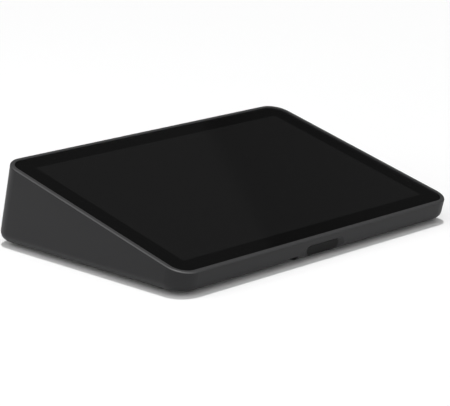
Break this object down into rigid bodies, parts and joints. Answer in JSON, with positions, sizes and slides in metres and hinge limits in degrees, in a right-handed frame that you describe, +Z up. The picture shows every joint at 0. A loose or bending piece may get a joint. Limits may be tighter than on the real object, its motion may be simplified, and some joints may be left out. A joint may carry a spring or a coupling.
{
  "type": "countertop touchscreen terminal",
  "caption": "Wedge-shaped countertop touchscreen terminal: full-face dark glass leaning back, oblong sensor window in the low front edge, and a covered cable bay underneath.",
  "frame": {"origin": "on the table, under the middle of the overall box", "axes": "+X to the operator's right, -Y towards the operator (low front edge), +Z up"},
  "size_m": [0.248, 0.1724, 0.0555],
  "materials": {
    "housing_shell": "fine moulded texture, charcoal grey",
    "base_plastic": "fine moulded texture, dark grey",
    "front_glass": "polished, black printed border",
    "adhesive": "matte black adhesive",
    "touch_layer": "clear laminated layer",
    "copper_loop": "copper flex with a matte cover layer",
    "panel": "dark display module",
    "tray_steel": "zinc-plated sheet steel",
    "screw_steel": "zinc-plated",
    "window_plastic": "smoked satin plastic that passes infrared",
    "board": "green solder mask",
    "chip": "moulded black package",
    "sink_aluminium": "extruded, plain",
    "thermal_compound": "soft filled pad",
    "cell_steel": "nickel-plated can",
    "foot_rubber": "matte black silicone",
    "insert_brass": "turned",
    "button_plastic": "satin moulded"
  },
  "bodies": {
    "console": {"housing": "housing_shell", "base_plate": "base_plastic", "cover_glass": "front_glass", "glass_gasket": "adhesive", "foam_frame": "adhesive", "speaker_gasket_frame": "adhesive", "touch_sensor": "touch_layer", "contactless_loop": "copper_loop", "sensor_flex": "copper_loop", "display_ribbon": "copper_loop", "lcd_panel": "panel", "display_tray": "tray_steel", "lock_plate": "tray_steel", "reader_can": "tray_steel", "wireless_module": "tray_steel", "network_port": "tray_steel", "usb_port": "tray_steel", "small_screws": "screw_steel", "base_screws": "screw_steel", "sensor_window": "window_plastic", "main_board": "board", "sensor_board": "board", "button_board": "board", "processor": "chip", "memory_chips": "chip", "presence_sensor": "chip", "buzzer": "chip", "speaker": "chip", "cell_holder": "chip", "display_connector": "chip", "power_inlet": "chip", "button_switch": "chip", "heat_sink": "sink_aluminium", "thermal_pad": "thermal_compound", "coin_cell": "cell_steel", "feet": "foot_rubber", "screw_insert": "insert_brass"},
    "cover": {"cable_cover": "base_plastic"},
    "captive_screw": {"cover_screw": "screw_steel"},
    "button": {"power_button": "button_plastic"}
  },
  "joints": [
    {"name": "cover_lift", "type": "slide", "parent": "console", "child": "cover", "axis": [0, 0, -1], "range_m": [0, 0.03]},
    {"name": "captive_screw_turn", "type": "hinge", "parent": "cover", "child": "captive_screw", "pos_m": [0.066, 0.038, 0.0035], "axis": [0, 0, -1], "range_deg": [0, 720]},
    {"name": "power_button_press", "type": "slide", "parent": "console", "child": "button", "axis": [0, -0.9703, -0.2419], "range_m": [0, 0.0006], "stiffness_N_per_m": 2500, "springref_m": -0.0004}
  ]
}
